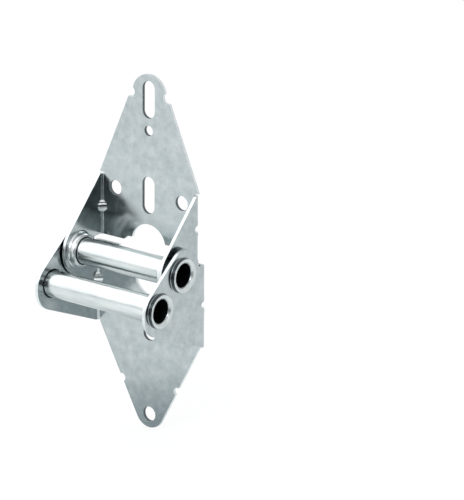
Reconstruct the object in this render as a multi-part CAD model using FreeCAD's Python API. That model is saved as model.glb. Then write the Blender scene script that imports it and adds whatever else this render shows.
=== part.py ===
"""Garage door roller hinge: two folded sheet leaves on a pivot tube, with a roller tube below it.

Millimetres. X runs along both tubes, +Y points back to the door, +Z is up.
The origin is on the pivot axis, midway between the lower leaf's flanges.
The pieces are drawn with the leaves' back faces at y = 0 and moved there at the end.
"""
import math
import os

import FreeCAD
import Part

V = FreeCAD.Vector
X_AXIS = V(1, 0, 0)
Y_AXIS = V(0, 1, 0)
Z_AXIS = V(0, 0, 1)

# Sheet: 14 gauge galvanised steel
sheet = 1.9
bend_inside_r = 1.5

# Axes, measured from the back face and from the pivot
pivot_out = 20.6
roller_out = 39.1
roller_drop = 14.7

# Tubes
tube_od = 14.3
tube_wall = 0.9
lip_reach = 2.2
lip_flare = 1.4
running_gap = 0.08

# Lower leaf: overall width over its flanges, and heights along the plate
lower_width = 73.8
lower_top = 0.4
lower_fold_bottom = -44.1
lower_tip = -96.9
lower_tip_r = 9.4
lower_corner_inset = 0.3
lower_corner_drop = 0.7

# Upper leaf: side play left and right between its flanges and the lower leaf's
play_left = 0.9
play_right = 2.5
upper_bottom = 4.1
upper_fold_top = 37.2
fold_slit = 0.9
upper_corner_inset = 0.3
shoulder_z = 82.9
shoulder_half = 13.6
upper_tip = 96.6
upper_tip_r = 10.9

# Lower leaf's flange: rounds near the pivot and around the roller tube
pivot_round_r = 11.7
pivot_round_back = 2.1
pivot_round_up = 1.6
nose_round_r = 13.2
nose_round_back = 1.3
nose_round_down = 1.3
flange_corner_r = 1.0

# Upper leaf's flange: eye around the pivot, set back from it, and the rear edge below the fold
eye_r = 15.1
eye_back = 3.4
eye_corner_r = 2.0
rear_edge_out = 8.2
relief_r = 1.2

# Collars drawn from the flanges: outward around the tubes' lips, inward around the pivot
collar_step = 0.2
collar_root_r = 0.5
eye_collar_height = 4.0
eye_collar_crown_r = 1.4
eye_collar_root_r = 1.2

# Bolt holes and slots
bolt_hole_r = 3.97
side_hole_half_spacing = 22.2
slot_travel = 12.2
hole_row_z = 31.2
top_slot_below_tip = 13.6
pilot_hole_r = 2.7
pilot_hole_z = 66.2
inner_hole_z = -44.5
tip_hole_z = -89.4

# Edge notches: scallops near both tips
upper_scallop_r = 2.7
upper_scallop_half = 12.1
lower_scallop_r = 2.2
lower_scallop_z = -72.9

# Central cut-out that both leaves share around the tubes
upper_arch_r = 11.4
upper_arch_z = 3.9
arch_ledge_rise = 2.2
arch_ledge_half = 13.8
arch_slope_half = 16.4
lower_arch_r = 9.5
lower_arch_z = -14.0
lower_step_half = 20.6
lower_step_drop = 2.0
arch_corner_r = 1.5

# Darts pressed across the folds to stiffen them
dart_groove_r = 2.0
dart_depth = 1.8
upper_dart_z = 19.5
lower_dart_z = -20.8

# Rounded profiles of lips and collars are drawn as chords; tolerances for picking edges
quarter_turn_chords = 3
same_place = 1e-3
same_direction = 1e-6

# Sizes that follow from the ones above
bend_outside_r = bend_inside_r + sheet
tube_r = tube_od / 2
tube_bore_r = tube_r - tube_wall
lip_round = tube_wall / 2
flare_r = tube_r + lip_flare
flare_height = lip_reach - tube_wall - lip_flare
lower_collar_r = flare_r + lip_round + collar_step
lower_half = lower_width / 2
upper_half = lower_half - sheet - (play_left + play_right) / 2
upper_shift = (play_left - play_right) / 2
pivot = (-pivot_out, 0.0)
roller = (-roller_out, -roller_drop)
eye_bore_r = tube_r + running_gap
eye_collar_r = eye_bore_r + sheet


def circle_point(centre, radius, degrees):
    angle = math.radians(degrees)
    return (centre[0] + radius * math.cos(angle), centre[1] + radius * math.sin(angle))


def direction(start, end):
    return math.degrees(math.atan2(end[1] - start[1], end[0] - start[0]))


def tangent_angle(point, centre, radius, side):
    """Angle on a circle where the line from a point touches it; side is +1 or -1."""
    reach = math.dist(point, centre)
    return direction(centre, point) + side * math.degrees(math.acos(radius / reach))


def common_tangent_angle(first, first_r, second, second_r):
    """Angle of the normal of the outer tangent that leaves both circles on its right."""
    span = math.dist(first, second)
    return direction(first, second) - math.degrees(math.acos((first_r - second_r) / span))


def plate_point(p, y=0.0):
    return V(p[0], y, p[1])


def flange_point(p, x=0.0):
    return V(x, p[0], p[1])


def prism(points, place, depth):
    """Straight-sided outline pushed along a vector."""
    corners = [place(p) for p in points]
    wire = Part.makePolygon(corners + [corners[0]])
    return Part.Face(wire).extrude(depth)


def plate_disc(centre, radius):
    """Disc through the plate's thickness."""
    return Part.makeCylinder(radius, sheet, plate_point(centre, -sheet), Y_AXIS)


def plate_prism(points):
    return prism(points, lambda p: plate_point(p, -sheet), V(0, sheet, 0))


def flange_disc(centre, radius):
    return Part.makeCylinder(radius, sheet, flange_point(centre), X_AXIS)


def flange_prism(points):
    return prism(points, flange_point, V(sheet, 0, 0))


def drill(centre, radius):
    """Cutter for a round hole through the plate, longer than the sheet is thick."""
    return Part.makeCylinder(radius, 3 * sheet, plate_point(centre, -2 * sheet), Y_AXIS)


def slot_cutter(z, radius, travel):
    """Cutter for an upright slot: two drilled ends and the web between them."""
    low = z - travel / 2
    high = z + travel / 2
    web = Part.makeBox(2 * radius, 3 * sheet, travel, V(-radius, -2 * sheet, low))
    return web.fuse([drill((0, low), radius), drill((0, high), radius)])


def mirrored(shape):
    return shape.mirror(V(0, 0, 0), X_AXIS)


def both_sides(shape):
    return [shape, mirrored(shape)]


def round_corner(shape, near, radius, axis):
    """Fillet the edges parallel to an axis that pass the given point of the outline."""
    picked = []
    for edge in shape.Edges:
        if edge.Curve.TypeId != "Part::GeomLine":
            continue
        along = edge.Vertexes[-1].Point.sub(edge.Vertexes[0].Point)
        if along.cross(axis).Length > same_direction:
            continue
        offset = edge.Vertexes[0].Point.sub(near)
        if offset.cross(axis).Length < same_place:
            picked.append(edge)
    return shape.makeFillet(radius, picked)


def bend(half_width, bottom, top):
    """Quarter-round bend that joins the plate to the right-hand flange."""
    centre = V(half_width - bend_outside_r, -bend_outside_r, bottom)
    outer = Part.makeCylinder(bend_outside_r, top - bottom, centre, Z_AXIS, 90)
    inner = Part.makeCylinder(bend_inside_r, top - bottom, centre, Z_AXIS, 90)
    return outer.cut(inner)


def dart(half_width, z):
    """Ridge and groove of one dart, pressed at 45 degrees across the right-hand bend."""
    bend_centre = V(half_width - bend_outside_r, -bend_outside_r, z)
    outward = V(1, 1, 0).normalize()
    groove_axis = bend_centre + outward * (bend_outside_r - dart_depth + dart_groove_r)
    along = V(1, -1, 0).normalize()
    length = 8 * bend_outside_r
    start = groove_axis - along * (length / 2)
    groove = Part.makeCylinder(dart_groove_r, length, start, along)
    ridge = Part.makeCylinder(dart_groove_r + sheet, length, start, along)
    inside = Part.makeBox(length, length, length,
                          V(half_width - sheet / 2 - length, -sheet / 2 - length, z - length / 2))
    return ridge.common(inside), groove


def rounding(centre, radius, start, end):
    """Points of an arc in the radius-and-height plane, from one angle to another in degrees."""
    count = round(abs(end - start) / 90 * quarter_turn_chords)
    return [circle_point(centre, radius, start + (end - start) * step / count)
            for step in range(count + 1)]


def collar_profile(points):
    """Face in the radius-and-height plane of a collar or a tube's wall."""
    following = points[1:] + points[:1]
    corners = [V(p[1], 0, p[0]) for p, q in zip(points, following) if math.dist(p, q) > same_place]
    return Part.Face(Part.makePolygon(corners + [corners[0]]))


def turned(profile, centre, x, facing):
    """Spin a collar profile about the X axis and set it on a flange; facing is +1 or -1."""
    ring = profile.revolve(V(0, 0, 0), X_AXIS, 360)
    if facing < 0:
        ring = mirrored(ring)
    ring.translate(flange_point(centre, x))
    return ring


def seat_collar():
    """Collar drawn outward from the lower leaf's flange; its mouth follows the tube's flare."""
    mouth_centre = (flare_r, flare_height)
    root_centre = (lower_collar_r + collar_root_r, collar_root_r)
    mouth = rounding(mouth_centre, lip_flare, 180, 90)
    root = rounding(root_centre, collar_root_r, 180, 270)
    return collar_profile([(tube_r, -sheet)] + mouth + [(lower_collar_r, flare_height + lip_flare)]
                          + root + [(root_centre[0], -sheet)])


def eye_collar():
    """Collar drawn inward from the upper leaf's flange, with a rounded crown that meets the tube."""
    crown_centre = (eye_collar_r - eye_collar_crown_r, eye_collar_height - eye_collar_crown_r)
    root_centre = (eye_collar_r + eye_collar_root_r, eye_collar_root_r)
    crown = rounding(crown_centre, eye_collar_crown_r, 90, 0)
    root = rounding(root_centre, eye_collar_root_r, 180, 270)
    entry = rounding((eye_collar_r, 0.0), sheet, 270, 180)
    return collar_profile([(eye_bore_r, eye_collar_height)] + crown + root
                          + [(root_centre[0], -sheet)] + entry)


def lower_plate():
    """Flat of the lower leaf: straight edges beside the folds, tapering to a round tip."""
    bend_line = lower_half - bend_outside_r
    corner = (bend_line + lower_corner_inset, lower_fold_bottom - lower_corner_drop)
    tip_centre = (0.0, lower_tip + lower_tip_r)
    touch = circle_point(tip_centre, lower_tip_r, tangent_angle(corner, tip_centre, lower_tip_r, -1))
    right = [(0, lower_top), (bend_line, lower_top), (bend_line, lower_fold_bottom), corner, touch,
             tip_centre]
    half = plate_prism(right)
    plate = half.fuse([mirrored(half), plate_disc(tip_centre, lower_tip_r)])
    share = (lower_scallop_z - corner[1]) / (touch[1] - corner[1])
    scallop = (corner[0] + share * (touch[0] - corner[0]), lower_scallop_z)
    cutters = both_sides(drill(scallop, lower_scallop_r))
    cutters.append(drill((0, inner_hole_z), bolt_hole_r))
    cutters.append(drill((0, tip_hole_z), bolt_hole_r))
    cutters.append(lower_arch())
    return plate.cut(cutters)


def lower_arch():
    """Cutter for the lower leaf's half of the central cut-out: a shallow step and a deep U."""
    thickness = 3 * sheet
    step_z = lower_top - lower_step_drop
    above = 2 * lower_arch_r
    step = Part.makeBox(2 * lower_step_half, thickness, lower_step_drop + above,
                        V(-lower_step_half, -2 * sheet, step_z))
    throat = Part.makeBox(2 * lower_arch_r, thickness, step_z - lower_arch_z + above,
                          V(-lower_arch_r, -2 * sheet, lower_arch_z))
    cutter = step.fuse([throat, drill((0, lower_arch_z), lower_arch_r)]).removeSplitter()
    for side in (-1, 1):
        cutter = round_corner(cutter, V(side * lower_arch_r, 0, step_z), arch_corner_r, Y_AXIS)
    return cutter


def upper_plate():
    """Flat of the upper leaf: narrow shoulders, a round tip and notches between the two."""
    bend_line = upper_half - bend_outside_r
    slit_top = upper_fold_top + fold_slit
    right = [(0, upper_bottom), (bend_line, upper_bottom), (bend_line, slit_top),
             (upper_half - upper_corner_inset, slit_top), (shoulder_half, shoulder_z), (0, shoulder_z)]
    half = plate_prism(right)
    tip_centre = (0.0, upper_tip - upper_tip_r)
    neck = plate_prism([(-upper_tip_r, shoulder_z - sheet), (upper_tip_r, shoulder_z - sheet),
                        (upper_tip_r, tip_centre[1]), (-upper_tip_r, tip_centre[1])])
    plate = half.fuse([mirrored(half), neck, plate_disc(tip_centre, upper_tip_r)])
    scallop = (upper_scallop_half, shoulder_z + upper_scallop_r)
    cutters = both_sides(drill(scallop, upper_scallop_r))
    cutters += both_sides(drill((side_hole_half_spacing, hole_row_z), bolt_hole_r))
    cutters.append(slot_cutter(hole_row_z, bolt_hole_r, slot_travel))
    cutters.append(slot_cutter(upper_tip - top_slot_below_tip, bolt_hole_r, slot_travel))
    cutters.append(drill((0, pilot_hole_z), pilot_hole_r))
    cutters.append(drill((0, upper_arch_z), upper_arch_r))
    ledge_z = upper_bottom + arch_ledge_rise
    ledge = prism([(-arch_slope_half, upper_bottom - sheet), (arch_slope_half, upper_bottom - sheet),
                   (arch_slope_half, upper_bottom), (arch_ledge_half, ledge_z),
                   (-arch_ledge_half, ledge_z), (-arch_slope_half, upper_bottom)],
                  lambda p: plate_point(p, -2 * sheet), V(0, 3 * sheet, 0))
    cutters.append(ledge)
    return plate.cut(cutters)


def lower_flange():
    """Outline of the lower leaf's flange: it wraps the pivot and comes to a nose at the roller."""
    start = -bend_outside_r
    top_round = (pivot[0] + pivot_round_back, pivot[1] + pivot_round_up)
    nose = (roller[0] + nose_round_back, roller[1] - nose_round_down)
    fold_foot = (start, lower_fold_bottom)
    front = common_tangent_angle(top_round, pivot_round_r, nose, nose_round_r)
    under = tangent_angle(fold_foot, nose, nose_round_r, -1)
    outline = [
        (start, lower_top),
        (top_round[0], lower_top),
        top_round,
        circle_point(top_round, pivot_round_r, front),
        circle_point(nose, nose_round_r, front),
        nose,
        circle_point(nose, nose_round_r, under),
        fold_foot]
    blank = flange_prism(outline).fuse([flange_disc(top_round, pivot_round_r),
                                        flange_disc(nose, nose_round_r)])
    blank = blank.removeSplitter()
    rise = lower_top - top_round[1]
    meet = (top_round[0] + math.sqrt(pivot_round_r ** 2 - rise ** 2), lower_top)
    return round_corner(blank, flange_point(meet), flange_corner_r, X_AXIS)


def upper_flange():
    """Outline of the upper leaf's flange: a long front edge, and an eye that hangs below the pivot."""
    start = -bend_outside_r
    eye = (pivot[0] + eye_back, pivot[1])
    fold_head = (start, upper_fold_top)
    brow_angle = tangent_angle(fold_head, eye, eye_r, 1)
    brow = circle_point(eye, eye_r, brow_angle)
    rear_y = -rear_edge_out
    heel = (rear_y, -math.sqrt(eye_r ** 2 - (rear_y - eye[0]) ** 2))
    heel_angle = 360 + direction(eye, heel)
    front = circle_point(eye, eye_r, (brow_angle + heel_angle) / 2)
    corners = [brow, fold_head, (start, upper_bottom), (rear_y, upper_bottom), heel]
    edges = [Part.LineSegment(flange_point(a), flange_point(b)).toShape()
             for a, b in zip(corners, corners[1:])]
    edges.append(Part.Arc(flange_point(heel), flange_point(front), flange_point(brow)).toShape())
    blank = Part.Face(Part.Wire(edges)).extrude(V(sheet, 0, 0))
    blank = round_corner(blank, flange_point(heel), eye_corner_r, X_AXIS)
    return round_corner(blank, flange_point((rear_y, upper_bottom)), relief_r, X_AXIS)


def folded_leaf(plate, flange, half_width, fold_bottom, fold_top, dart_z):
    """One leaf: plate, two bends and two flanges in one piece, with a dart across each fold."""
    flange.translate(V(half_width - sheet, 0, 0))
    side = flange.fuse(bend(half_width, fold_bottom, fold_top))
    leaf = plate.fuse(both_sides(side)).removeSplitter()
    ridge, groove = dart(half_width, dart_z)
    leaf = leaf.fuse(both_sides(ridge))
    return leaf.cut(both_sides(groove)).removeSplitter()


def with_collars(leaf, profile, centre, flange_x, collar_x, facing, opening_r):
    """Cut both flanges open around an axis and set a turned collar in each opening."""
    for side in (-1, 1):
        start = flange_point(centre, side * (flange_x - 2 * sheet))
        opening = Part.makeCylinder(opening_r, 3 * sheet, start, V(side, 0, 0))
        collar = turned(profile, centre, side * collar_x, side * facing)
        leaf = leaf.cut(opening).fuse(collar)
    return leaf.removeSplitter()


def lower_leaf():
    """Leaf that carries both tubes, its collars drawn outward around them."""
    leaf = folded_leaf(lower_plate(), lower_flange(), lower_half,
                       lower_fold_bottom, lower_top, lower_dart_z)
    for centre in (pivot, roller):
        leaf = with_collars(leaf, seat_collar(), centre, lower_half, lower_half, 1, lower_collar_r)
    return leaf


def upper_leaf():
    """Leaf that swings on the pivot tube, its collars drawn inward; it has slid to the left."""
    leaf = folded_leaf(upper_plate(), upper_flange(), upper_half,
                       upper_bottom, upper_fold_top, upper_dart_z)
    leaf = with_collars(leaf, eye_collar(), pivot, upper_half, upper_half - sheet, -1, eye_collar_r)
    leaf.translate(V(upper_shift, 0, 0))
    return leaf


def flared_tube(centre):
    """Tube held in the lower leaf by its two lips, which are rolled over the collars' mouths."""
    flare_centre = (flare_r, lower_half + flare_height)
    edge_centre = (flare_r, flare_centre[1] + lip_flare + lip_round)
    outside = rounding(flare_centre, lip_flare, 180, 90)
    edge = rounding(edge_centre, lip_round, -90, 90)
    inside = rounding(flare_centre, lip_flare + tube_wall, 90, 180)
    half = collar_profile([(tube_bore_r, 0.0), (tube_r, 0.0)] + outside + edge + inside)
    right = turned(half, centre, 0.0, 1)
    return right.fuse(mirrored(right)).removeSplitter()


nodes = {
    "lower_leaf": lower_leaf(),
    "upper_leaf": upper_leaf(),
    "pivot_tube": flared_tube(pivot),
    "roller_tube": flared_tube(roller),
}

os.makedirs("parts", exist_ok=True)
for name, shape in nodes.items():
    solid = shape.Solids[0]
    solid.translate(V(0, pivot_out, 0))
    box = solid.optimalBoundingBox(False)
    print(f"{name}: solids {len(shape.Solids)}, valid {solid.isValid()}, volume {solid.Volume:.1f} mm3, "
          f"x {box.XMin:.2f} to {box.XMax:.2f}, y {box.YMin:.2f} to {box.YMax:.2f}, "
          f"z {box.ZMin:.2f} to {box.ZMax:.2f}")
    solid.exportStep(f"parts/{name}.step")
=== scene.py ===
import math

import bmesh
import bpy
from mathutils import Matrix, Vector


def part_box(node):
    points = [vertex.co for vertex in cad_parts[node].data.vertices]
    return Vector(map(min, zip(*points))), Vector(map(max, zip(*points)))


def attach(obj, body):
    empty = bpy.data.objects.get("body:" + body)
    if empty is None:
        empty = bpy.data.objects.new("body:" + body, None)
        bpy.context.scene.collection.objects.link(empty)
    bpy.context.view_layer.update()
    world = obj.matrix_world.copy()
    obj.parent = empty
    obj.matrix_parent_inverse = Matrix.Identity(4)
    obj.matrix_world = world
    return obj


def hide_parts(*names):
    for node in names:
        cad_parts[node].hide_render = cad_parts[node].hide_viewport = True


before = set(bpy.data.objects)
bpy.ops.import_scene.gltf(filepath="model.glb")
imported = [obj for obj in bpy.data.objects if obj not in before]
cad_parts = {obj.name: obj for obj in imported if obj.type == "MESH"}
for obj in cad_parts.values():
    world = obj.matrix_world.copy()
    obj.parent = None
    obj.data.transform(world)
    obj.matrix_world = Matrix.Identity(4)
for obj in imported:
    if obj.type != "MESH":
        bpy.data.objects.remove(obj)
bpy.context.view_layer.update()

MM = 0.001

# Sizes of the hinge in millimetres: sheet, half widths of the leaves, collars and tubes
SHEET = 1.9
FLANGE_X = 36.9
UPPER_HALF = 33.3
EYE_COLLAR_HEIGHT = 4.0
CROWN_R = 10.6
TUBE_R = 7.15
TUBE_BORE_R = 6.25
PIVOT_AXIS = (0.0, 0.0)
ROLLER_AXIS = (-18.5, -14.7)

# Darts pressed across the folds, in millimetres: their heights, and the box around each of them
LOWER_DART_Z = -20.8
UPPER_DART_Z = 19.5
DART_HALF_HEIGHT = 5
DART_REACH = 8
DART_FRONT_Y = 11

# Front face of both plates, and the holes punched in them as (x, lowest z, highest z, radius)
PLATE_FRONT_Y = 18.7
BOLT_R = 3.97
PILOT_R = 2.7
LOWER_HOLES = [(0.0, -44.5, -44.5, BOLT_R), (0.0, -89.4, -89.4, BOLT_R)]
UPPER_HOLES = [(-0.8, 76.9, 89.1, BOLT_R), (-0.8, 25.1, 37.3, BOLT_R), (-0.8, 66.2, 66.2, PILOT_R),
               (-23.0, 31.2, 31.2, BOLT_R), (21.4, 31.2, 31.2, BOLT_R)]

# Softening of the edges in millimetres, and the strips that it is made of
EDGE_ROUND = 0.22
DART_ROUND = 0.5
ENTRY_ROUND = 0.7
EDGE_STRIPS = 2
WIDE_STRIPS = 3

# Tolerances in millimetres, for joining the mesh and telling its faces apart
WELD = 0.001
NEAR = 0.15
HOLE_MARGIN = 0.3
FOLD_MARGIN = 0.4
BORE_MARGIN = 0.1
LIP_MARGIN = 0.2

# Angles between faces: flat enough to join, gentle enough to shade smooth, sharp enough to soften
FLAT_BELOW = math.radians(0.5)
SMOOTH_BELOW = math.radians(34)
ROUND_ABOVE = math.radians(40)

# Parts of a face's normal along an axis, from 0 to 1
EDGEWISE = 0.3
OFF_COLLAR_FACE = 0.92
OFF_FLAT = 0.97
LIP_FRONT = 0.5

# Order of the finishes on a leaf, and on a tube after its outside
FACE, EDGE, PUNCHED, COLLAR, GROOVE, CROWN, DART = range(7)
BORE, LIP, LIP_BACK = 1, 2, 3

# Metals: places of the three tones on the mottling, and the fine grain's strength and height
TONE_PLACES = (0.3, 0.5, 0.72)
GRAIN_STRENGTH = 0.35
GRAIN_HEIGHT_MM = 0.01

# Studio in metres: the floor under the lower tip, and cards that only reflections see
FLOOR_HEIGHT = -0.0972
FLOOR_HALF = 6.0
CARD_NEAR = 0.27
CARD_FAR = 0.80
CARD_RISE = 0.44
CARD_HALF = 0.46
HUNG_DISTANCE = 0.80
HUNG_LOW = 0.55
HUNG_RISE = 0.80
HUNG_HALF = 0.46
TIP_CARD_REACH = 0.105
TIP_CARD_HALF = 0.07
TIP_CARD_LIFT = 0.1 * MM

# Share of pure white in what the camera sees of the floor, and the strength of the world's light
FLOOR_WHITE = 0.85
WORLD_LIGHT = 0.9

# The photograph's camera
VIEW_AZIMUTH = math.radians(38.2134)
VIEW_ELEVATION = math.radians(17.8897)
VIEW_ROLL = math.radians(0.4010)
CAMERA_PLACE = (1.629005, -1.980771, 0.834188)
SENSOR = 36.0
FOCAL_PIXELS = 5187.297
PHOTO_HEIGHT = 500
FAR_CLIP = 50

# Level directions from the hinge: towards the camera, and to the camera's right
FACING = Vector((math.sin(VIEW_AZIMUTH), -math.cos(VIEW_AZIMUTH), 0))
RIGHTWARD = Vector((math.cos(VIEW_AZIMUTH), math.sin(VIEW_AZIMUTH), 0))


def linear(hex_code):
    """Scene-linear colour of an sRGB hex value."""
    values = [int(hex_code[i:i + 2], 16) / 255 for i in (1, 3, 5)]
    return [v / 12.92 if v <= 0.04045 else ((v + 0.055) / 1.055) ** 2.4 for v in values] + [1.0]


def add(tree, kind, links=None, **settings):
    """One node with its settings and links; a setting that names a socket sets the socket."""
    node = tree.nodes.new("ShaderNode" + kind)
    for name, value in settings.items():
        socket = node.inputs.get(name.replace("_", " "))
        if socket is not None:
            socket.default_value = value
        else:
            setattr(node, name, value)
    for name, source in (links or {}).items():
        tree.links.new(source, node.inputs[name])
    return node


def new_material(name):
    """Material with an empty node tree, and that tree."""
    material = bpy.data.materials.new(name)
    material.use_nodes = True
    material.node_tree.nodes.clear()
    return material, material.node_tree


def ramp(tree, factor, stops):
    """Colour ramp from a factor, with (position, colour) stops."""
    node = add(tree, "ValToRGB", {"Fac": factor})
    while len(node.color_ramp.elements) < len(stops):
        node.color_ramp.elements.new(0.5)
    for element, (place, colour) in zip(node.color_ramp.elements, stops):
        element.position = place
        element.color = colour
    return node


def grey(value):
    """Neutral colour of one value."""
    return [value, value, value, 1.0]


def metal(name, tones, mottle_mm, roughness, wave_mm, wave_height_mm, grain_mm, stretch=(1, 1, 1)):
    """Bare or plated metal: a mottled tone, uneven gloss, slow waviness and a fine grain."""
    material, tree = new_material(name)
    place = add(tree, "TexCoord").outputs["Object"]
    drawn = add(tree, "Mapping", {"Vector": place}, Scale=stretch).outputs["Vector"]
    mottle = add(tree, "TexNoise", {"Vector": drawn}, Scale=1 / (mottle_mm * MM), Detail=6.0,
                 Roughness=0.7)
    tone = ramp(tree, mottle.outputs["Fac"], list(zip(TONE_PLACES, [linear(t) for t in tones])))
    grain = add(tree, "TexNoise", {"Vector": drawn}, Scale=1 / (grain_mm * MM), Detail=2.0)
    gloss = add(tree, "MapRange", {"Value": mottle.outputs["Fac"]}, From_Min=0.3, From_Max=0.7,
                To_Min=roughness[0], To_Max=roughness[1])
    wave = add(tree, "TexNoise", {"Vector": drawn}, Scale=1 / (wave_mm * MM), Detail=1.0)
    slow = add(tree, "Bump", {"Height": wave.outputs["Fac"]}, Strength=1.0,
               Distance=wave_height_mm * MM)
    fine = add(tree, "Bump", {"Height": grain.outputs["Fac"], "Normal": slow.outputs["Normal"]},
               Strength=GRAIN_STRENGTH, Distance=GRAIN_HEIGHT_MM * MM)
    shader = add(tree, "BsdfPrincipled", {"Base Color": tone.outputs["Color"],
                                          "Roughness": gloss.outputs["Result"],
                                          "Normal": fine.outputs["Normal"]}, Metallic=1.0)
    add(tree, "OutputMaterial", {"Surface": shader.outputs["BSDF"]})
    return material


# Zinc-plated rolled steel sheet: pale blue-grey, half-mirror, faintly clouded by the plating
zinc_plated_sheet = metal("zinc_plated_rolled_sheet", ("#9da5a7", "#abb3b5", "#bbc1c3"),
                          mottle_mm=5.0, roughness=(0.15, 0.22), wave_mm=24.0, wave_height_mm=0.04,
                          grain_mm=0.7)
# Sheared edge of the plated sheet: rougher than the rolled face; its paler tone is a painted
# highlight
edge_highlight_painted = metal("plated_edge_painted_highlight", ("#c2cacc", "#d2d8da", "#e0e4e5"),
                     mottle_mm=3.0, roughness=(0.28, 0.42), wave_mm=8.0, wave_height_mm=0.01,
                     grain_mm=0.5)
# Wall of a punched hole: dull, and dark as painted shade inside the hole
hole_wall_painted_shade = metal("punched_hole_painted_shade", ("#4c5256", "#5f666b", "#767d82"),
                     mottle_mm=1.5, roughness=(0.45, 0.6), wave_mm=6.0, wave_height_mm=0.01,
                     grain_mm=0.5)
# Zinc-plated drawn tube: paler and smoother than the sheet, drawn lines along its length
zinc_plated_tube = metal("zinc_plated_drawn_tube", ("#b0b8ba", "#c8cece", "#dadfdf"),
                         mottle_mm=4.0, roughness=(0.18, 0.28), wave_mm=30.0, wave_height_mm=0.02,
                         grain_mm=0.6, stretch=(0.12, 1, 1))
# Collar wall drawn out of the sheet, and the back of a tube's lip: darker grey, painted crevice
# shade
collar_wall_painted_shade = metal("collar_and_lip_back_painted_shade", ("#394145", "#4b5357", "#60686c"),
                          mottle_mm=2.0, roughness=(0.16, 0.28), wave_mm=8.0, wave_height_mm=0.01,
                          grain_mm=0.5)
# Narrow groove where a tube enters its collar: nearly black, painted shadow of the groove
groove_painted_shadow = metal("collar_entry_painted_shadow", ("#1d2224", "#282e31", "#363d40"),
                     mottle_mm=2.0, roughness=(0.4, 0.55), wave_mm=6.0, wave_height_mm=0.01,
                     grain_mm=0.5)
# Crown of the collar that turns on the tube: pale with a soft gloss, a painted highlight for its
# bright ring
crown_painted_highlight = metal("collar_crown_with_painted_highlight", ("#d0d5d7", "#dde1e2", "#e6e9ea"),
                        mottle_mm=2.5, roughness=(0.29, 0.33), wave_mm=10.0, wave_height_mm=0.002,
                        grain_mm=0.5)
# Darts pressed across the folds: a pale tone, painted glint between dark faces
dart_painted_glint = metal("die_dart_with_painted_glint", ("#d4d9db", "#e0e4e5", "#ebedee"),
                     mottle_mm=2.5, roughness=(0.16, 0.22), wave_mm=10.0, wave_height_mm=0.01,
                     grain_mm=0.5)
# Lip of the tube, rolled over by a tool: paler and duller than the drawn wall behind it
rolled_lip = metal("rolled_plated_lip", ("#bcc3c5", "#c9cfd0", "#d6dada"),
                   mottle_mm=2.5, roughness=(0.34, 0.46), wave_mm=6.0, wave_height_mm=0.015,
                   grain_mm=0.5)
# Inside of the tube: nearly black and dull, painted shade in the bore
bore_painted_shade = metal("tube_bore_with_painted_shade", ("#17181a", "#1d1f21", "#26282a"),
                    mottle_mm=3.0, roughness=(0.55, 0.7), wave_mm=12.0, wave_height_mm=0.01,
                    grain_mm=0.6)

LEAF_FINISHES = [zinc_plated_sheet, edge_highlight_painted, hole_wall_painted_shade, collar_wall_painted_shade, groove_painted_shadow,
                 crown_painted_highlight, dart_painted_glint]
TUBE_FINISHES = [zinc_plated_tube, bore_painted_shade, rolled_lip, collar_wall_painted_shade]


def merged_copy(node):
    """Closed mesh of a CAD node, its loose triangles joined and its flat faces made whole."""
    shell = bmesh.new()
    shell.from_mesh(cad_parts[node].data)
    bmesh.ops.remove_doubles(shell, verts=shell.verts, dist=WELD * MM)
    bmesh.ops.dissolve_limit(shell, angle_limit=FLAT_BELOW, use_dissolve_boundaries=False,
                             verts=shell.verts, edges=shell.edges)
    return shell


def soften(shell, edges, offset_mm, strips, clamp=False):
    """Bevel some edges; a clamped bevel stops where it would run into its neighbours."""
    return bmesh.ops.bevel(shell, geom=edges, offset=offset_mm * MM, offset_type="OFFSET",
                           affect="EDGES", segments=strips, profile=0.5, material=-1,
                           clamp_overlap=clamp)["faces"]


def sharp_edges(shell, chosen):
    """Edges that turn by more than a smooth surface does, where the chooser accepts their middle."""
    picked = []
    for edge in shell.edges:
        if len(edge.link_faces) == 2 and edge.calc_face_angle() > ROUND_ABOVE:
            if chosen((edge.verts[0].co + edge.verts[1].co) / 2 / MM):
                picked.append(edge)
    return picked


def anywhere(place):
    """Chooser that accepts every edge."""
    return True


def finished_piece(name, shell, materials):
    """Object with the materials, shaded smooth where the surface turns gently."""
    for face in shell.faces:
        face.smooth = True
    for edge in shell.edges:
        edge.smooth = len(edge.link_faces) == 2 and edge.calc_face_angle() < SMOOTH_BELOW
    mesh = bpy.data.meshes.new(name)
    shell.to_mesh(mesh)
    shell.free()
    for material in materials:
        mesh.materials.append(material)
    piece = bpy.data.objects.new(name, mesh)
    bpy.context.scene.collection.objects.link(piece)
    even = piece.modifiers.new("even_shading", "WEIGHTED_NORMAL")
    even.keep_sharp = True
    return piece


def in_hole(x, z, holes):
    """Whether a place on the plate lies on the wall of one of the round or slotted holes."""
    for hole_x, low, high, radius in holes:
        nearest = min(max(z, low), high)
        if math.hypot(x - hole_x, z - nearest) < radius + HOLE_MARGIN:
            return True
    return False


def by_dart(place, across, half_width, dart_z, outermost):
    """Whether a place lies in the box around a dart, out to a given distance across."""
    in_depth = half_width - DART_REACH < across < outermost and place.y > DART_FRONT_Y
    return in_depth and abs(place.z - dart_z) < DART_HALF_HEIGHT


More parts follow.
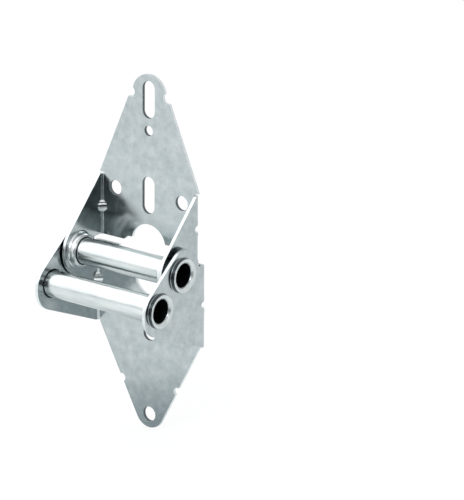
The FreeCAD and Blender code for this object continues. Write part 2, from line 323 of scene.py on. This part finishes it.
def leaf_finish(centre, across, normal, half_width, dart_z, holes, entry_x):
    """Which finish a face of a leaf has, from its place in millimetres and the way it faces."""
    on_plate = centre.y > PLATE_FRONT_Y and abs(normal.y) < EDGEWISE
    on_flange = half_width - SHEET < across < half_width and abs(normal.x) < EDGEWISE
    # Sheared edges get the paler tone of a painted highlight
    finish = EDGE if on_plate or on_flange else FACE
    # Walls of the holes get a dark tone: painted shade inside the holes
    if on_plate and in_hole(centre.x, centre.z, holes):
        finish = PUNCHED
    # Collar roots beyond the flange get a darker grey: painted crevice shade
    if across > half_width + NEAR and abs(normal.x) < OFF_COLLAR_FACE:
        finish = COLLAR
    # The crown gets a pale tone: painted highlight
    on_crown = entry_x - NEAR < across < half_width - SHEET - NEAR
    if on_crown and math.hypot(centre.y, centre.z) < CROWN_R:
        finish = CROWN
    # Darts get a pale tone: painted glint
    turning = max(abs(normal.x), abs(normal.y)) < OFF_FLAT
    if finish == FACE and turning:
        if by_dart(centre, across, half_width, dart_z, half_width - FOLD_MARGIN):
            finish = DART
    return finish


def sheet_leaf(node, body, half_width, dart_z, holes, entries, entry_x):
    """A folded leaf: a finish on each face, rounded entries to its collars, softened edges."""
    shell = merged_copy(node)
    lowest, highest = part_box(node)
    middle = (lowest.x + highest.x) / 2 / MM
    for face in shell.faces:
        centre = face.calc_center_median() / MM
        face.material_index = leaf_finish(centre, abs(centre.x - middle), face.normal, half_width,
                                          dart_z, holes, entry_x)
    for axis_y, axis_z in entries:
        def at_entry(place):
            on_circle = abs(math.hypot(place.y - axis_y, place.z - axis_z) - TUBE_R) < NEAR
            return on_circle and abs(abs(place.x - middle) - entry_x) < NEAR
        # The rounded entries get a nearly black tone: painted shadow in the groove
        for face in soften(shell, sharp_edges(shell, at_entry), ENTRY_ROUND, WIDE_STRIPS):
            face.material_index = GROOVE

    def at_dart(place):
        return by_dart(place, abs(place.x - middle), half_width, dart_z, half_width + NEAR)
    soften(shell, sharp_edges(shell, at_dart), DART_ROUND, WIDE_STRIPS, clamp=True)
    soften(shell, sharp_edges(shell, anywhere), EDGE_ROUND, EDGE_STRIPS)
    piece = finished_piece(node + "_sheet", shell, LEAF_FINISHES)
    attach(piece, body)
    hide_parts(node)


def flared_tube(node, body, axis_y, axis_z):
    """A tube with rolled lips, bright outside, with painted shade in its bore and behind its lips.
    """
    shell = merged_copy(node)
    for face in shell.faces:
        centre = face.calc_center_median() / MM
        off_axis = math.hypot(centre.y - axis_y, centre.z - axis_z)
        # The bore gets a nearly black tone: painted shade
        if off_axis < TUBE_BORE_R + BORE_MARGIN:
            face.material_index = BORE
        elif abs(centre.x) > FLANGE_X:
            outward = math.copysign(1, centre.x) * face.normal.x
            # The back of the lip gets the darker grey: painted crevice shade
            back_of_lip = off_axis > TUBE_R + LIP_MARGIN and outward < LIP_FRONT
            face.material_index = LIP_BACK if back_of_lip else LIP
    soften(shell, sharp_edges(shell, anywhere), EDGE_ROUND, EDGE_STRIPS)
    piece = finished_piece(node + "_drawn", shell, TUBE_FINISHES)
    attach(piece, body)
    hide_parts(node)


sheet_leaf("lower_leaf", "fixed_leaf", FLANGE_X, LOWER_DART_Z, LOWER_HOLES,
           [PIVOT_AXIS, ROLLER_AXIS], FLANGE_X - SHEET)
sheet_leaf("upper_leaf", "swing_leaf", UPPER_HALF, UPPER_DART_Z, UPPER_HOLES,
           [PIVOT_AXIS], UPPER_HALF - SHEET - EYE_COLLAR_HEIGHT)
flared_tube("pivot_tube", "fixed_leaf", *PIVOT_AXIS)
flared_tube("roller_tube", "fixed_leaf", *ROLLER_AXIS)


def plane(name, corners, material):
    """Flat quadrilateral for the studio."""
    shell = bmesh.new()
    shell.faces.new([shell.verts.new(c) for c in corners])
    mesh = bpy.data.meshes.new(name)
    shell.to_mesh(mesh)
    shell.free()
    mesh.materials.append(material)
    thing = bpy.data.objects.new(name, mesh)
    bpy.context.scene.collection.objects.link(thing)
    return thing


def reflected_card(name, corners, material):
    """Card of the studio that only reflections see."""
    card = plane(name, corners, material)
    card.visible_camera = False
    card.visible_shadow = False
    card.visible_diffuse = False


def studio_floor():
    """Pale floor at the height of the lower tip, nearly white to the camera, with a soft shadow."""
    material, tree = new_material("pale_floor")
    rays = add(tree, "LightPath")
    paint = add(tree, "BsdfDiffuse", Color=linear("#f0f2f2"))
    white = add(tree, "Emission", Color=grey(1.0), Strength=1.0)
    share = add(tree, "Math", {0: rays.outputs["Is Camera Ray"]}, operation="MULTIPLY")
    share.inputs[1].default_value = FLOOR_WHITE
    mix = add(tree, "MixShader", {0: share.outputs[0], 1: paint.outputs["BSDF"],
                                  2: white.outputs["Emission"]})
    add(tree, "OutputMaterial", {"Surface": mix.outputs["Shader"]})
    half = FLOOR_HALF
    plane("floor", [(x, y, FLOOR_HEIGHT) for x, y in ((-half, -half), (half, -half), (half, half),
                                                      (-half, half))], material)


def dark_cards():
    """Dark cards low on the camera's side, which the inner faces mirror through each other."""
    material, tree = new_material("dark_card")
    paint = add(tree, "BsdfDiffuse", Color=linear("#0e1a1f"))
    add(tree, "OutputMaterial", {"Surface": paint.outputs["BSDF"]})
    lift = Vector((0, 0, FLOOR_HEIGHT + MM))
    near = FACING * CARD_NEAR + lift
    far = FACING * CARD_FAR + lift
    top = far + Vector((0, 0, CARD_RISE))
    hung = FACING * HUNG_DISTANCE + Vector((0, 0, HUNG_LOW))
    hung_top = hung + Vector((0, 0, HUNG_RISE))
    for name, foot, head, half in (("lying_card", near, far, CARD_HALF),
                                   ("standing_card", far, top, CARD_HALF),
                                   ("hanging_card", hung, hung_top, HUNG_HALF)):
        left = RIGHTWARD * -half
        right = RIGHTWARD * half
        reflected_card(name, [foot + left, foot + right, head + right, head + left], material)


def tip_painted_shadow_card():
    """Card that the lower tip mirrors: a painted shadow on the floor, a little darker than it and
    fading into it.
    """
    material, tree = new_material("painted_shadow_fade")
    place = add(tree, "TexCoord").outputs["Object"]
    away = Vector((-math.sin(VIEW_AZIMUTH), -math.cos(VIEW_AZIMUTH), 0))
    side = Vector((away.y, -away.x, 0)) * TIP_CARD_HALF
    start = Vector((0, PLATE_FRONT_Y * MM, 0))
    reach = add(tree, "VectorMath", {0: place}, operation="SUBTRACT")
    reach.inputs[1].default_value = start
    along = add(tree, "VectorMath", {0: reach.outputs["Vector"]}, operation="DOT_PRODUCT")
    along.inputs[1].default_value = away / TIP_CARD_REACH
    # Darker near the tip and fading out: painted shadow of the part on the floor
    fade = ramp(tree, along.outputs["Value"], [(0.25, linear("#bdc4c6")), (1.0, linear("#f0f2f2"))])
    paint = add(tree, "BsdfDiffuse", {"Color": fade.outputs["Color"]})
    add(tree, "OutputMaterial", {"Surface": paint.outputs["BSDF"]})
    near = start + Vector((0, 0, FLOOR_HEIGHT + TIP_CARD_LIFT))
    far = near + away * TIP_CARD_REACH
    reflected_card("tip_painted_shadow_card", [near - side, near + side, far + side, far - side], material)


def studio_world():
    """Even white surroundings, full white to the camera and in reflections."""
    world = bpy.data.worlds.new("white_studio")
    bpy.context.scene.world = world
    world.use_nodes = True
    tree = world.node_tree
    tree.nodes.clear()
    rays = add(tree, "LightPath")
    seen = add(tree, "Math", {0: rays.outputs["Is Camera Ray"], 1: rays.outputs["Is Glossy Ray"]},
               operation="MAXIMUM")
    seen = add(tree, "Math", {0: seen.outputs[0], 1: rays.outputs["Is Transmission Ray"]},
               operation="MAXIMUM")
    strength = add(tree, "MapRange", {"Value": seen.outputs[0]}, To_Min=WORLD_LIGHT, To_Max=1.0)
    sky = add(tree, "Background", {"Strength": strength.outputs["Result"]}, Color=grey(1.0))
    add(tree, "OutputWorld", {"Surface": sky.outputs["Background"]})


def soft_box(name, place, size, power):
    """Square area lamp aimed at the part."""
    lamp = bpy.data.lights.new(name, "AREA")
    lamp.size = size
    lamp.energy = power
    thing = bpy.data.objects.new(name, lamp)
    aim = Vector(place).normalized()
    thing.matrix_world = Matrix.Translation(place) @ aim.to_track_quat("Z", "Y").to_matrix().to_4x4()
    bpy.context.scene.collection.objects.link(thing)


def photograph_camera():
    """Camera at the photograph's place, turned and zoomed as it was."""
    back = Vector((math.sin(VIEW_AZIMUTH) * math.cos(VIEW_ELEVATION),
                   -math.cos(VIEW_AZIMUTH) * math.cos(VIEW_ELEVATION), math.sin(VIEW_ELEVATION)))
    upright = back.cross(RIGHTWARD)
    right = RIGHTWARD * math.cos(VIEW_ROLL) + upright * math.sin(VIEW_ROLL)
    up = upright * math.cos(VIEW_ROLL) - RIGHTWARD * math.sin(VIEW_ROLL)
    data = bpy.data.cameras.new("camera")
    data.sensor_fit = "VERTICAL"
    data.sensor_height = SENSOR
    data.lens = FOCAL_PIXELS * SENSOR / PHOTO_HEIGHT
    data.clip_end = FAR_CLIP
    camera = bpy.data.objects.new("camera", data)
    turn = Matrix((right, up, back)).transposed()
    camera.matrix_world = Matrix.Translation(CAMERA_PLACE) @ turn.to_4x4()
    bpy.context.scene.collection.objects.link(camera)
    bpy.context.scene.camera = camera


studio_floor()
dark_cards()
tip_painted_shadow_card()
studio_world()
soft_box("key_lamp", place=(-1.08, -0.37, 0.97), size=2.2, power=15)
soft_box("side_lamp", place=(1.26, -0.59, 0.56), size=0.8, power=3)
# Small lamp for the bright crescent on the collar's crown
soft_box("crescent_lamp", place=(0.165, -0.615, 0.40), size=0.22, power=1.8)
photograph_camera()
bpy.context.scene.view_settings.view_transform = "Standard"

bpy.context.view_layer.update()
